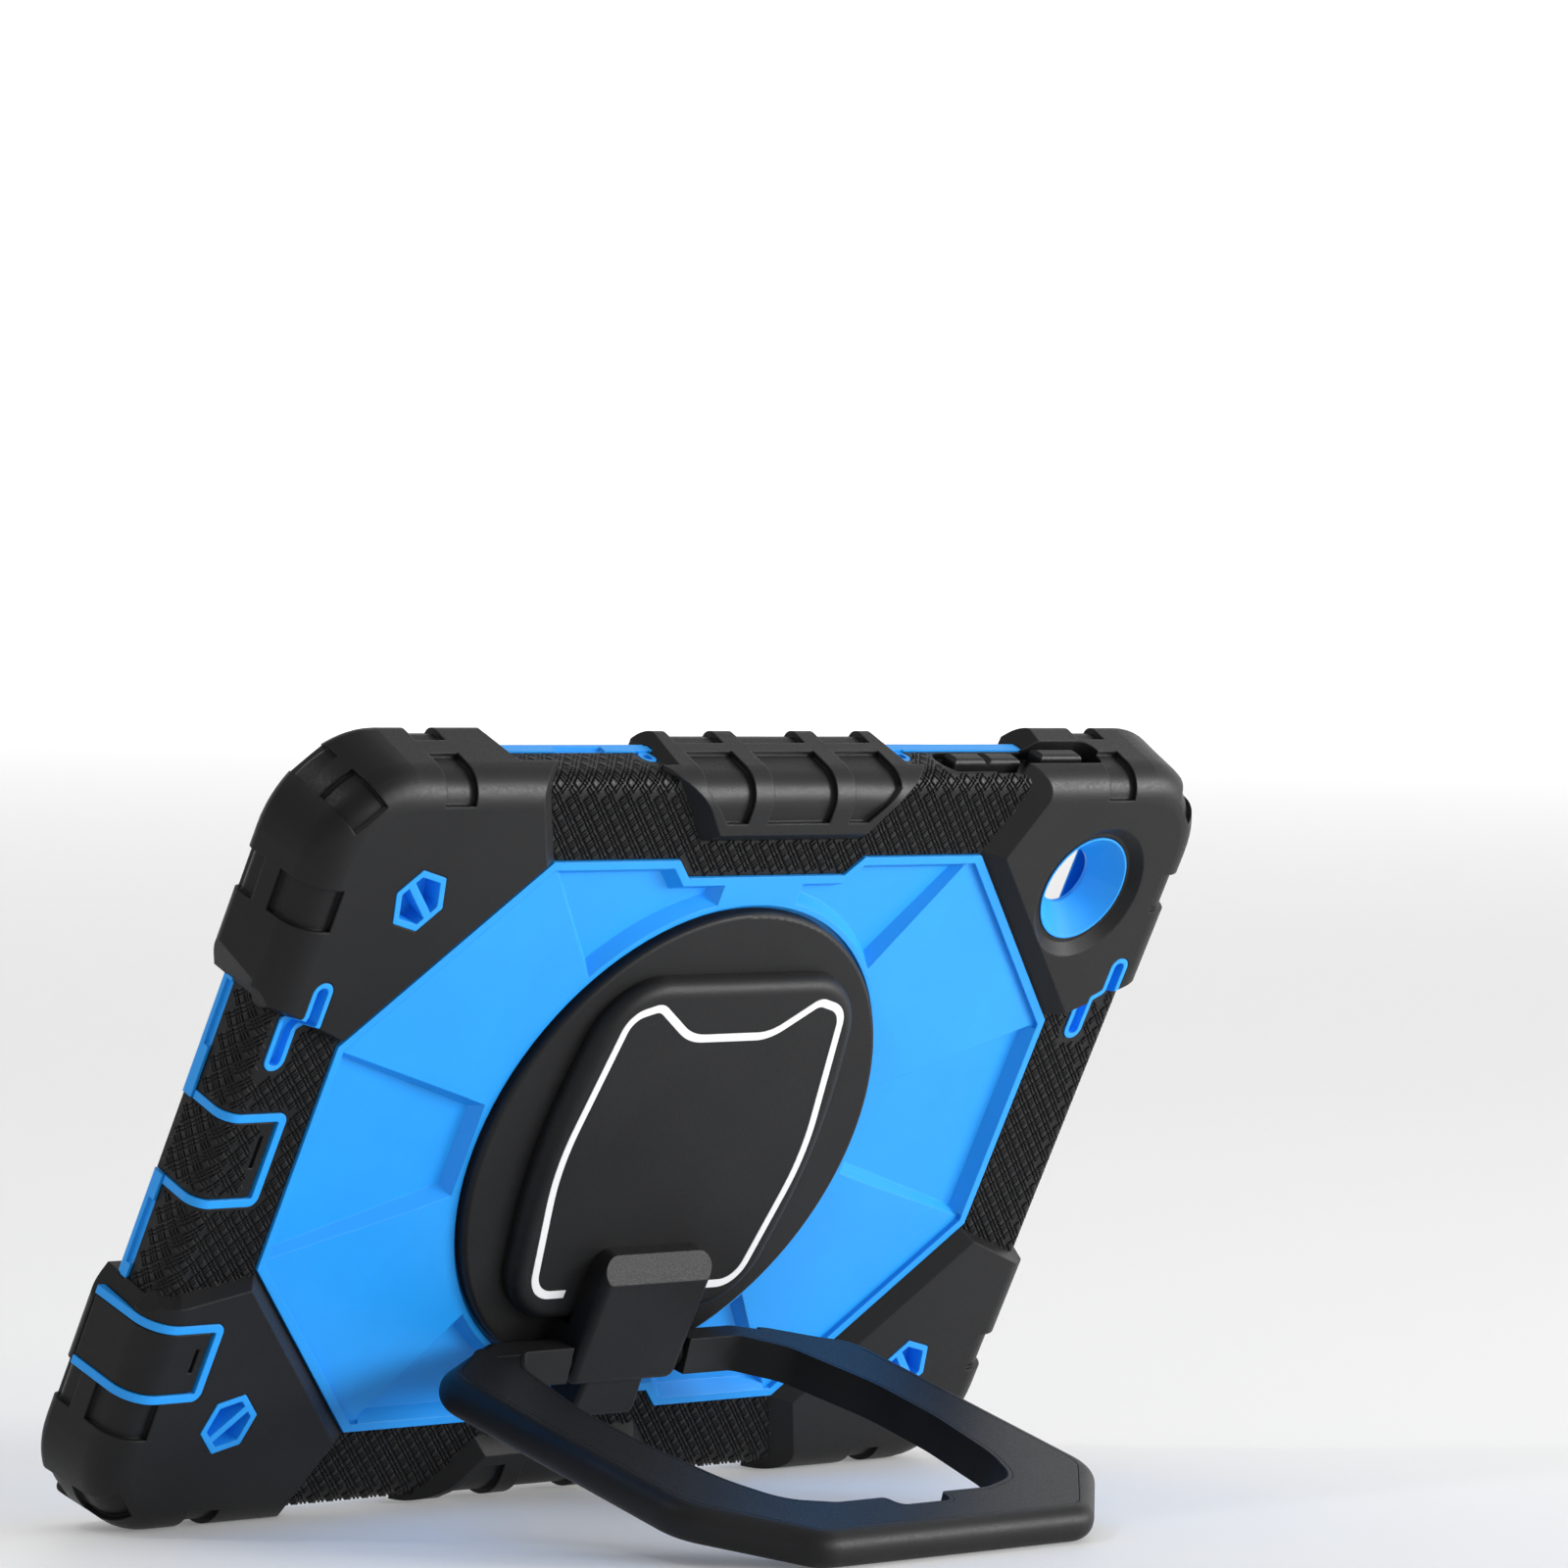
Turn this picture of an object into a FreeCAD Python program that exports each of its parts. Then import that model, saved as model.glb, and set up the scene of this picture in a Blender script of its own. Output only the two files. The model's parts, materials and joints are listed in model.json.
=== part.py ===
import FreeCAD, Part
import math
import os

# Rugged case for an 11-inch-class tablet: blue frame and shell, black silicone jacket,
# a turntable on the back and a loop stand hinged to it.
#
# Panel frame (millimetres): x to the right as seen from the rear, y up the panel,
# z out of the rear face, with z = 0 on the rim of the octagonal panel.
# Every sub-part is drawn in the panel frame and then stood up by one shared Placement,
# which rests the lower bumpers and the far bar of the open stand on the floor.

V = FreeCAD.Vector

SIZES = {
    # back of the tablet that the case is made for
    "tablet_back_z": -6.6,
    # blue front frame, as half sizes
    "frame_half_x": 138.0, "frame_half_y": 93.5, "frame_corner": 20.2,
    "face_z": -15.5, "frame_plate": 1.8, "frame_flange_z": -12.2,
    "window_half_x": 118.45, "window_half_y": 74.05, "window_corner": 3.0,
    "window_bevel": 3.7, "bevel_depth": 1.3,
    "eyelet_outer": 2.2, "eyelet_hole": 1.2,
    "skirt_half_x": 132.8, "skirt_half_y": 88.6, "skirt_wall": 1.6, "skirt_z": -6.5,
    # blue rear shell
    "shell_half_x": 130.9, "shell_half_y": 86.7, "shell_corner": 7.0,
    "shell_wall": 1.8, "shell_back_z": -3.0, "shell_lip_z": -13.4,
    "octagon_x": 112.7, "octagon_y": 72.4, "octagon_low": 27.8, "octagon_side": 68.2,
    "notch_outer": 29.5, "notch_inner": 24.8, "notch_y": 67.9,
    "rim_width": 2.0, "facet_depth": 3.2, "facet_slope": 2.2, "diagonal_depth": 1.2,
    # silicone jacket
    "band_half_x": 137.3, "band_half_y": 93.0, "band_corner": 21.0,
    "band_z": -0.7, "band_round": 4.6, "band_front_z": -12.1,
    "corner_half_x": 141.8, "corner_half_y": 97.0, "corner_draft": 2.8,
    "corner_radius": 24.0, "corner_top_z": 3.0, "corner_front_z": -18.8,
    "corner_round": 8.0, "lip_round": 2.4, "lip_half_x": 131.5, "lip_half_y": 86.5,
    "bumper_half_y": 96.2, "groove_depth": 1.2, "seat_gap": 0.15,
    # rear camera opening
    "camera_x": 106.6, "camera_y": 63.8, "funnel_radius": 12.8, "funnel_hole": 7.0,
    "camera_well": 17.0,
    # turntable
    "disc_radius": 59.6, "disc_well": 60.6, "well_z": -1.5, "disc_under_z": -1.0,
    "disc_top_z": 2.2, "disc_edge": 1.2, "hub_radius": 16.9, "hub_clearance": 0.06,
    "hub_end_z": -4.9, "bearing_outer": 56.0, "bearing_inner": 40.0,
    "retainer_radius": 25.0, "retainer_plate": 1.2, "washer_plate": 0.5,
    "screw_circle": 11.0, "screw_radius": 1.25, "screw_head": 2.3,
    "pad_top_z": 6.5, "pad_round": 3.6, "pad_wall": 2.0, "pad_half_x": 44.6,
    "pad_high_y": 44.5, "pad_low_y": -43.0,
    "line_width": 2.0, "line_depth": 0.6,
    # hinge and loop stand
    "hinge_y": -51.5, "hinge_z": 8.0, "open_angle": 80.0,
    "block_half_x": 17.0, "block_low_y": -56.5, "block_high_y": -23.8, "block_top_z": 13.2,
    "lug_half_x": 10.2, "lug_low_y": -66.4, "lug_top_z": 11.0,
    "journal_radius": 3.2, "journal_clearance": 0.05, "loop_half": 4.3, "loop_round": 4.0,
    "bush_width": 1.0, "bush_radius": 4.0,
    "loop_near": 38.5, "loop_wide": 67.2, "loop_first": 11.5, "loop_second": 91.0,
    "loop_far": 42.5, "loop_length": 114.1, "loop_inner_end": 97.5,
    # buttons and flaps
    "button_z": -7.6, "rocker_x": 65.0, "rocker_length": 22.0, "power_x": 89.5,
    "power_length": 14.0, "button_height": 4.0, "rocker_face_y": 94.3,
    "power_face_y": 95.3, "pivot_y": 89.3, "pivot_radius": 0.5,
    "usb_half": 9.3, "usb_end_x": -122.0, "audio_y": -48.8, "audio_half": 7.5,
    "audio_end_x": -121.8, "outline_width": 2.0, "flap_skin": 2.3,
}

doc = FreeCAD.newDocument("TabletCase")
sheet = doc.addObject("Spreadsheet::Sheet", "Sizes")
for row, (alias, value) in enumerate(SIZES.items(), start=1):
    sheet.set("A%d" % row, alias)
    sheet.set("B%d" % row, str(value))
    sheet.setAlias("B%d" % row, alias)
doc.recompute()

NODES = []


def size(alias):
    return float(sheet.get(alias))


# ---------------------------------------------------------------- wires and simple solids

def outline(points, radii=0.0):
    """Closed wire through 2-D points; each corner is an arc of its own radius."""
    count = len(points)
    if not isinstance(radii, (list, tuple)):
        radii = [radii] * count
    edges = []
    starts = []
    ends = []
    middles = []
    for i in range(count):
        corner = V(points[i][0], points[i][1], 0)
        before = V(points[i - 1][0], points[i - 1][1], 0) - corner
        after = V(points[(i + 1) % count][0], points[(i + 1) % count][1], 0) - corner
        before.normalize()
        after.normalize()
        if radii[i] <= 0:
            starts.append(corner)
            ends.append(corner)
            middles.append(None)
            continue
        half_turn = math.acos(max(-1.0, min(1.0, before.dot(after)))) / 2
        reach = radii[i] / math.tan(half_turn)
        bisector = before + after
        bisector.normalize()
        starts.append(corner + before * reach)
        ends.append(corner + after * reach)
        middles.append(corner + bisector * (radii[i] / math.sin(half_turn) - radii[i]))
    for i in range(count):
        if middles[i] is not None:
            edges.append(Part.Arc(starts[i], middles[i], ends[i]).toShape())
        following = starts[(i + 1) % count]
        if (following - ends[i]).Length > 1e-6:
            edges.append(Part.LineSegment(ends[i], following).toShape())
    return Part.Wire(edges)


def rectangle(half_x, half_y, radius=0.0, x=0.0, y=0.0):
    corners = [(x + half_x, y + half_y), (x - half_x, y + half_y),
               (x - half_x, y - half_y), (x + half_x, y - half_y)]
    return outline(corners, radius)


def at_height(wire, z):
    lifted = wire.copy()
    lifted.translate(V(0, 0, z))
    return lifted


def prism(wire, z_low, z_high):
    return Part.Face(at_height(wire, z_low)).extrude(V(0, 0, z_high - z_low))


def frustum(wire_low, z_low, wire_high, z_high):
    return Part.makeLoft([at_height(wire_low, z_low), at_height(wire_high, z_high)], True, True)


def block(x_low, x_high, y_low, y_high, z_low, z_high):
    return Part.makeBox(x_high - x_low, y_high - y_low, z_high - z_low,
                        V(x_low, y_low, z_low))


def mirrored(points):
    """The points followed by their mirror images across the y axis, in one loop."""
    return list(points) + [(-x, y) for x, y in reversed(points)]


def edges_where(shape, test):
    return [edge for edge in shape.Edges if test(edge.BoundBox)]


def four_quadrants(shape):
    """The shape of the first quadrant and its three mirror images."""
    right = [shape, shape.mirror(V(0, 0, 0), V(0, 1, 0))]
    left = [part.mirror(V(0, 0, 0), V(1, 0, 0)) for part in right]
    return right + left


# ---------------------------------------------------------------- the stand-up placement

def far_bar_centre():
    """Centre of the rounding on which the opened stand's far bar rests."""
    turn = FreeCAD.Rotation(V(1, 0, 0), size("open_angle"))
    local = V(0, size("loop_length") - size("loop_round"), size("loop_half") - size("loop_round"))
    return V(0, size("hinge_y"), size("hinge_z")) + turn.multVec(local)


def floor_lean():
    """Angle that lays the floor along the lower bumpers' edge and the stand's far bar."""
    draft = math.atan2(size("corner_draft"), size("corner_top_z") - size("corner_front_z"))
    rounding = size("corner_round")
    side_y = size("corner_half_y") - size("corner_draft")
    bumper = V(0, -side_y + rounding * (1 - math.sin(draft)) / math.cos(draft),
               size("corner_top_z") - rounding)
    bar = far_bar_centre()
    span = bar - bumper
    slack = (size("loop_round") - rounding) / span.Length
    lean = math.acos(slack) - math.atan2(span.z, span.y)
    floor_height = (bumper.y * math.cos(lean) - bumper.z * math.sin(lean)) - rounding
    return lean, floor_height


LEAN, FLOOR = floor_lean()


def standing_placement():
    """Panel z turns to the rear (-Y) and down by the lean; the floor is Z = 0."""
    turn = FreeCAD.Rotation(V(1, 0, 0), 90 + math.degrees(LEAN))
    lip = size("lip_round")
    depth = V(0, lip - size("corner_half_y"), size("corner_front_z") + lip)
    front = turn.multVec(depth).y + lip
    rear = turn.multVec(far_bar_centre()).y - size("loop_round")
    return FreeCAD.Placement(V(0, -(front + rear) / 2, -FLOOR), turn)


STAND = standing_placement()


def keep(label, shape):
    """A sub-part whose shape is made by Part's own functions."""
    node = doc.addObject("Part::Feature", label)
    node.Label = label
    node.Shape = shape
    node.Placement = STAND.multiply(shape.Placement)
    NODES.append(node)
    return node


def keep_object(label, node):
    """A sub-part that is a parametric object of the document."""
    node.Label = label
    node.Placement = STAND.multiply(node.Placement)
    NODES.append(node)
    return node


# ---------------------------------------------------------------- blue front frame

def corner_footprint(extra=0.0):
    """First-quadrant area that a jacket corner covers beside and in front of the frame."""
    return outline([(81.6, 86.0), (82.0, 93.4), (92.3, 99.2), (92.3, 110.0), (155.0, 110.0),
                    (155.0, 49.0 - extra), (143.0, 49.0 - extra), (138.0, 38.6 - extra),
                    (131.0, 38.6 - extra), (118.0, 70.0)])


def corner_set(make):
    """Four mirrored corners; the lower left one reaches further, for the audio flap."""
    return four_quadrants(make(0.0))[:3] + four_quadrants(make(LONGER_CORNER))[3:]


LONGER_CORNER = 3.4
BUMPER_HALF_LENGTH = 38.2
BUTTON_SPOTS = ((59.5, 1.2), (70.5, 1.2), (89.5, 1.2))
EYELET_X = 40.6
EYELET_Z = -10.2


def lip_recess(z_low, z_high, gap):
    """What the jacket's lips take from the frame's face: four corners and two bumpers."""
    outer = rectangle(200, 150)
    inner = rectangle(size("lip_half_x") - gap, size("lip_half_y") - gap, 10.0)
    border = prism(outer, z_low, z_high).cut(prism(inner, z_low, z_high))
    corners = corner_set(lambda extra: prism(corner_footprint(extra), z_low, z_high))
    middle = block(-BUMPER_HALF_LENGTH - gap, BUMPER_HALF_LENGTH + gap, -110, 110,
                   z_low, z_high)
    return border.common(corners[0].multiFuse(corners[1:] + [middle]))


def front_frame():
    face = size("face_z")
    flange = size("frame_flange_z")
    plate_back = face + size("frame_plate")
    skirt_x = size("skirt_half_x")
    skirt_y = size("skirt_half_y")
    wall = size("skirt_wall")
    frame = prism(rectangle(size("frame_half_x"), size("frame_half_y"), size("frame_corner")),
                  face, flange)
    rounded = edges_where(frame, lambda box: abs(box.ZMax - face) < 0.01)
    frame = frame.makeFillet(0.8, rounded)
    hollow = rectangle(skirt_x - wall, skirt_y - wall, 7.0)
    skirt = prism(rectangle(skirt_x, skirt_y, 8.6), plate_back, size("skirt_z"))
    frame = frame.fuse(skirt)
    frame = frame.cut(prism(hollow, plate_back, size("skirt_z") + 1))
    frame = frame.cut(window_cut())
    frame = frame.cut(lip_recess(face - 2, face + 1.2, 0.15))
    frame = frame.cut(camera_slot())
    for notch in pry_notches():
        frame = frame.cut(notch)
    frame = frame.cut(usb_notch())
    frame = frame.cut(prism(hollow, plate_back, flange + 3).common(
        block(-skirt_x, skirt_x, -skirt_y, skirt_y, plate_back, flange)))
    seat = size("eyelet_outer") + 0.03
    for x in (-EYELET_X, EYELET_X):
        frame = frame.cut(block(x - seat, x + seat, 85.0, 94.0,
                                EYELET_Z - seat, size("skirt_z") + 1))
    for x, radius in BUTTON_SPOTS:
        frame = frame.cut(side_cylinder(radius + 0.3, x, 85.0, 89.5))
    return frame.removeSplitter()


def strap_eyelets():
    """Two small grommets in slots of the frame's skirt, flush with the jacket's band."""
    rings = []
    for x in (-EYELET_X, EYELET_X):
        body = side_cylinder(size("eyelet_outer"), x, 87.0, size("band_half_y"), EYELET_Z)
        rings.append(body.cut(side_cylinder(size("eyelet_hole"), x, 85.0, 95.0, EYELET_Z)))
    return Part.makeCompound(rings)


def window_cut():
    """Through window with a shallow bevel all round its front edge."""
    bevel = size("window_bevel")
    half_x = size("window_half_x")
    half_y = size("window_half_y")
    corner = size("window_corner")
    face = size("face_z")
    through = prism(rectangle(half_x, half_y, corner), face - 1, face + 4)
    floor = face + size("bevel_depth")
    slope = frustum(rectangle(half_x + bevel, half_y + bevel, corner + bevel), face,
                    rectangle(half_x, half_y, corner), floor)
    return through.fuse(slope)


def camera_slot():
    """Slot for the tablet's front camera, inside a shallow eye-shaped recess."""
    x = 4.6
    y = 79.2
    face = size("face_z")
    slot = prism(rectangle(8.8, 2.3, 2.29, x, y), face - 1, face + 3)
    eye_wide = rectangle(13.0, 4.6, 4.5, x, y)
    eye_deep = rectangle(9.6, 3.0, 2.9, x, y)
    return slot.fuse(frustum(eye_wide, face - 0.01, eye_deep, face + 0.9))


def pry_notches():
    """Shallow round-ended notches in the flange's outer edge, open to the rear."""
    side_x = size("frame_half_x")
    side_y = size("frame_half_y")
    low = size("frame_flange_z") - 1.6
    spots = [(sign_x * side_x, sign_y * 27.0 + 3.0, 0.8, 8.0)
             for sign_x in (-1, 1) for sign_y in (-1, 1)]
    spots.append((-59.7, side_y, 7.5, 0.8))
    spots += [(sign * 59.7, -side_y, 7.5, 0.8) for sign in (-1, 1)]
    return [prism(rectangle(half_x, half_y, 0.7, x, y), low, low + 3.0)
            for x, y, half_x, half_y in spots]


def usb_notch():
    """Notch for the USB flap and openings in the skirt behind both port flaps."""
    half = size("usb_half") + 0.3
    notch = prism(rectangle(6.0, half, 1.5, -138.0, 0), -20, size("frame_flange_z") + 0.1)
    usb = block(-140, -128, -12.5, 12.5, size("frame_flange_z"), 0)
    audio = size("audio_y")
    jack = block(-140, -128, audio - 11.5, audio + 11.5, size("frame_flange_z"), 0)
    return notch.multiFuse([usb, jack])


def side_cylinder(radius, x, y_low, y_high, z=SIZES["button_z"]):
    """Cylinder along y through the button side."""
    return Part.makeCylinder(radius, y_high - y_low, V(x, y_low, z), V(0, 1, 0))


# ---------------------------------------------------------------- blue rear shell

def octagon(inset=0.0):
    """Outline of the faceted panel, with a notch in its long top and bottom edges."""
    quarter = [(size("octagon_x"), size("octagon_low")),
               (size("octagon_side"), size("octagon_y")),
               (size("notch_outer"), size("octagon_y")),
               (size("notch_inner"), size("notch_y"))]
    upper = mirrored(quarter)
    wire = outline(upper + [(-x, -y) for x, y in upper])
    if inset:
        return wire.makeOffset2D(-inset, join=2)
    return wire


def sunk_facet(wire):
    """A flat-floored facet with sloping walls."""
    floor = wire.makeOffset2D(-size("facet_slope"), join=2)
    return frustum(floor, -size("facet_depth"), wire, 0.0)


def side_facet():
    end_x = size("octagon_x") - size("rim_width")
    return outline([(end_x, 27.1), (62.0, 11.6), (62.0, -11.6), (end_x, -27.1)])


def upper_facet():
    """Facet between the panel's rim, the flat bridge and the turntable's round collar."""
    rim_y = size("octagon_y") - size("rim_width")
    notch_y = size("notch_y") - size("rim_width")
    collar = 62.0
    bridge_x = 12.5
    first = V(bridge_x, math.sqrt(collar ** 2 - bridge_x ** 2), 0)
    last = V(44.6, math.sqrt(collar ** 2 - 44.6 ** 2), 0)
    middle_turn = (math.atan2(first.y, first.x) + math.atan2(last.y, last.x)) / 2
    middle = V(collar * math.cos(middle_turn), collar * math.sin(middle_turn), 0)
    corners = [last, V(66.8, rim_y, 0), V(30.3, rim_y, 0), V(25.6, notch_y, 0),
               V(bridge_x, notch_y, 0), first]
    edges = [Part.LineSegment(a, b).toShape() for a, b in zip(corners, corners[1:])]
    edges.append(Part.Arc(first, middle, last).toShape())
    return Part.Wire(edges)


def diagonal_facet():
    """Slanting facet: level with the collar inside, sunk a little at the outer rim."""
    rim = (size("octagon_x") + size("octagon_low")) / math.sqrt(2) - 2.2
    collar = 61.5
    corners = [(110.7, rim * math.sqrt(2) - 110.7), (110.7, 25.6), (62.0, 9.9),
               (43.2, 44.0), (64.9, 70.4), (rim * math.sqrt(2) - 70.4, 70.4)]
    points = []
    for x, y in corners:
        along = ((x + y) / math.sqrt(2) - collar) / (rim - collar)
        points.append(V(x, y, -size("diagonal_depth") * along))
    face = Part.Face(Part.makePolygon(points + [points[0]]))
    return face.extrude(V(0, 0, 4))


def hexagon(radius, x, y):
    turns = [math.radians(45 + 60 * k) for k in range(6)]
    return outline([(x + radius * math.cos(a), y + radius * math.sin(a)) for a in turns], 0.6)


def window_spots():
    """Centres of the hexagonal windows, with the sign of their diagonal bar."""
    return ((-107.8, 65.4, 1), (-107.8, -65.4, -1), (107.8, -65.4, 1))


def hex_window(x, y, sign):
    """Raised hexagonal frame with a diagonal bar across its sunk floor."""
    turn = 0 if sign > 0 else 90
    boss = prism(hexagon(7.7, 0, 0), size("shell_back_z") - 0.5, 3.15)
    floor = prism(hexagon(6.0, 0, 0), -1.8, 4.0)
    bar = block(-8, 8, -0.95, 0.95, -2, 4)
    bar.rotate(V(0, 0, 0), V(0, 0, 1), -45)
    boss = boss.cut(floor.cut(bar))
    boss.rotate(V(0, 0, 0), V(0, 0, 1), turn)
    boss.translate(V(x, y, 0))
    return boss


def s_slot(x, gap=0.0):
    """S-shaped slot outline: two upright halves, the upper one shifted to the right."""
    points = [(x - 1.15, 45.6), (x - 1.15, 37.2), (x - 4.5, 35.4), (x - 4.5, 22.4),
              (x + 1.1, 22.4), (x + 1.1, 32.6), (x + 4.45, 34.6), (x + 4.45, 45.6)]
    wire = outline(points, [2.6, 0.8, 0.8, 2.6, 2.6, 0.8, 0.8, 2.6])
    if gap:
        return wire.makeOffset2D(gap, join=0)
    return wire


SLOT_X = (-127.8, 126.2)
USB_FRONT_Z = -11.9
AUDIO_FRONT_Z = -15.6


def flap_area(end_x, y, half, z_low, corner=1.4):
    """Area of a port flap in plan: from its round-cornered end out past the side."""
    points = [(end_x, y + half), (-160, y + half), (-160, y - half), (end_x, y - half)]
    return prism(outline(points, [corner, 0, 0, corner]), z_low, 12)


def flap_ridge(end_x, y, half, surface, z_low):
    """Raised blue outline that follows the jacket's surface around a port flap."""
    width = size("outline_width")
    outer = flap_area(end_x + width + 0.3, y, half + 0.3 + width, z_low, 2.4)
    inner = flap_area(end_x + 0.3, y, half + 0.3, z_low - 1.0, 0.6)
    flange = size("frame_flange_z")
    outer = outer.cut(block(-size("frame_half_x") - 0.3, 0, -120, 120, -20, flange + 0.1))
    return outer.cut(inner).common(surface)


def rear_shell():
    half_x = size("shell_half_x")
    half_y = size("shell_half_y")
    corner = size("shell_corner")
    wall = size("shell_wall")
    back = size("shell_back_z")
    front = size("shell_lip_z")
    seat = size("tablet_back_z")
    shell = prism(rectangle(half_x, half_y, corner), front, back)
    shell = shell.cut(prism(rectangle(half_x - wall, half_y - wall, corner - wall),
                            front - 1, seat))
    shell = shell.fuse(prism(octagon(), back - 0.5, 0.0))
    shell = add_shell_details(shell)
    facets = [sunk_facet(side_facet()), sunk_facet(side_facet()).mirror(V(0, 0, 0), V(1, 0, 0))]
    facets += four_quadrants(sunk_facet(upper_facet()))
    facets += four_quadrants(diagonal_facet())
    for facet in facets:
        shell = shell.cut(facet)
    shell = shell.cut(Part.makeCylinder(size("disc_well"), 5, V(0, 0, size("well_z"))))
    bore = size("hub_radius") + size("hub_clearance")
    shell = shell.cut(Part.makeCylinder(bore, 20, V(0, 0, -10)))
    recess = size("retainer_radius") + 0.6
    web_front = size("hub_end_z") + size("washer_plate")
    shell = shell.cut(Part.makeCylinder(recess, 10, V(0, 0, web_front - 10)))
    for x, radius in BUTTON_SPOTS:
        shell = shell.cut(side_cylinder(radius + 0.3, x, 80.0, 88.0))
    shell = shell.cut(block(-140, -128, -6.0, 6.0, front - 1, seat - 0.2))
    shell = shell.cut(block(-140, -128, size("audio_y") - 4, size("audio_y") + 4,
                            front - 1, seat - 0.2))
    return shell.removeSplitter()


def add_shell_details(shell):
    """Camera funnel, hexagonal windows, S slots and the outlines of the two port flaps."""
    back = size("shell_back_z")
    x = size("camera_x")
    y = size("camera_y")
    outer = size("funnel_radius")
    hole = size("funnel_hole")
    shell = shell.fuse(Part.makeCylinder(outer + 0.5, 1.0 - back, V(x, y, back)))
    shell = shell.cut(Part.makeCone(hole, outer, 6.6, V(x, y, -5.6)))
    shell = shell.cut(Part.makeCylinder(hole, 20, V(x, y, -10)))
    for spot in window_spots():
        shell = shell.fuse(hex_window(*spot))
    corner = raised_corner().common(raised_body(-0.2))
    surface = band_body(0.3).multiFuse([corner, corner.mirror(V(0, 0, 0), V(1, 0, 0))])
    for slot_x in SLOT_X:
        boss = prism(s_slot(slot_x), back - 0.5, 4.0).common(surface)
        groove = prism(s_slot(slot_x).makeOffset2D(-1.25, join=0), -2.3, 5.0)
        shell = shell.fuse(boss.cut(groove))
    ring_space = block(-170, -110, -100, 40, -20, back).cut(
        block(-129.6, 0, -100, 100, -20, back - 0.5))
    behind = block(-170, -110, -100, 40, back - 0.5, 20).fuse(ring_space)
    usb = flap_ridge(size("usb_end_x"), 0.0, size("usb_half"), band_body(0.25),
                     USB_FRONT_Z)
    audio = flap_ridge(size("audio_end_x"), size("audio_y"), size("audio_half"),
                       raised_body(-0.25), AUDIO_FRONT_Z - 0.2)
    for ridge in (usb, audio):
        shell = shell.fuse(ridge.common(behind))
    return shell


# ---------------------------------------------------------------- silicone jacket

def band_body(grow=0.0):
    """Thin textured band round the sides and the back, with a rounded rear edge."""
    body = prism(rectangle(size("band_half_x") + grow, size("band_half_y") + grow,
                           size("band_corner")), size("band_front_z"), size("band_z") + grow)
    top = size("band_z") + grow
    return body.makeFillet(size("band_round"),
                           edges_where(body, lambda box: abs(box.ZMin - top) < 0.01))


def raised_body(inset=0.0, half_y_alias="corner_half_y"):
    """Outer form of the thick corners and bumpers: drafted sides and rounded edges."""
    half_x = size("corner_half_x") - inset
    half_y = size(half_y_alias) - inset
    draft = size("corner_draft")
    low = size("corner_front_z") + inset
    high = size("corner_top_z") - inset
    radius = size("corner_radius") - inset
    body = frustum(rectangle(half_x, half_y, radius), low,
                   rectangle(half_x - draft, half_y - draft, radius - draft), high)
    top = edges_where(body, lambda box: abs(box.ZMin - high) < 0.01)
    body = body.makeFillet(size("corner_round") - inset, top)
    bottom = edges_where(body, lambda box: abs(box.ZMax - low) < 0.01)
    return body.makeFillet(size("lip_round") - inset / 2, bottom)


def deepened(base, top, z_base, z_top, z_deep):
    """Frustum through two outlines, carried down along the same slopes to z_deep."""
    share = (z_base - z_deep) / (z_top - z_base)
    deep = [(b[0] + (b[0] - a[0]) * share, b[1] + (b[1] - a[1]) * share)
            for a, b in zip(top, base)]
    return frustum(outline(deep), z_deep, outline(top), z_top)


def raised_corner(extra=0.0):
    """Rear part of one corner: sloping walls towards the panel and the two bands."""
    base = [(67.8, 73.2), (78.0, 93.5), (86.25, 110.0), (155.0, 110.0),
            (155.0, 48.6 - extra), (143.0, 48.6 - extra), (137.6, 37.9 - extra),
            (131.8, 35.9 - extra), (112.2, 28.8)]
    top = [(73.3, 73.1), (83.5, 93.4), (91.8, 110.0), (155.0, 110.0),
           (155.0, 51.2 - extra), (143.0, 51.2 - extra), (138.6, 40.3 - extra),
           (134.0, 38.5 - extra), (115.2, 31.2)]
    return deepened(base, top, -0.9, size("corner_top_z"), -4.8)


def raised_bumper():
    """Rear part of the bumper in the middle of a long side: a trapezoid."""
    base = mirrored([(25.5, 76.8), (38.7, 93.0), (38.7, 110.0)])
    top = mirrored([(23.5, 80.2), (34.6, 93.0), (34.6, 110.0)])
    return deepened(base, top, -0.9, size("corner_top_z"), -4.0)


def corner_grooves():
    """Three grooves of one corner, each broken by a bar on the side face."""
    parts = []
    for z_low, z_high, y_in, x_in, reach in ((-7.6, 4.0, 88.0, 130.5, 16.4),
                                             (-20.0, -12.2, 94.3, 139.1, 21.4)):
        parts.append(block(101.0, 110.0, y_in, 100.0, z_low, z_high))
        parts.append(block(x_in, 145.0, 58.0, 68.0, z_low, z_high))
        slanted = block(reach, 32.0, -4.6, 4.6, z_low, z_high)
        slanted.rotate(V(0, 0, 0), V(0, 0, 1), 45)
        slanted.translate(V(117.8, 73.0, 0))
        parts.append(slanted)
    return parts


def bumper_grooves():
    """Three grooves of one long-side bumper; the outer two follow the trapezoid."""
    middle = outline([(-10.0, 83.0), (10.0, 83.0), (10.0, 99.0), (-10.0, 99.0)])
    outer = outline([(16.0, 83.0), (22.5, 83.0), (31.0, 91.0), (31.0, 99.0), (16.0, 99.0)])
    parts = []
    for wire in (middle, outer):
        rear = prism(wire, -9.2, 4.0)
        front = prism(wire, -20.0, -12.2).common(block(-40, 40, 93.5, 99, -20, -12))
        parts += [rear, front]
    parts += [part.mirror(V(0, 0, 0), V(1, 0, 0)) for part in parts[2:]]
    return parts


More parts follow.
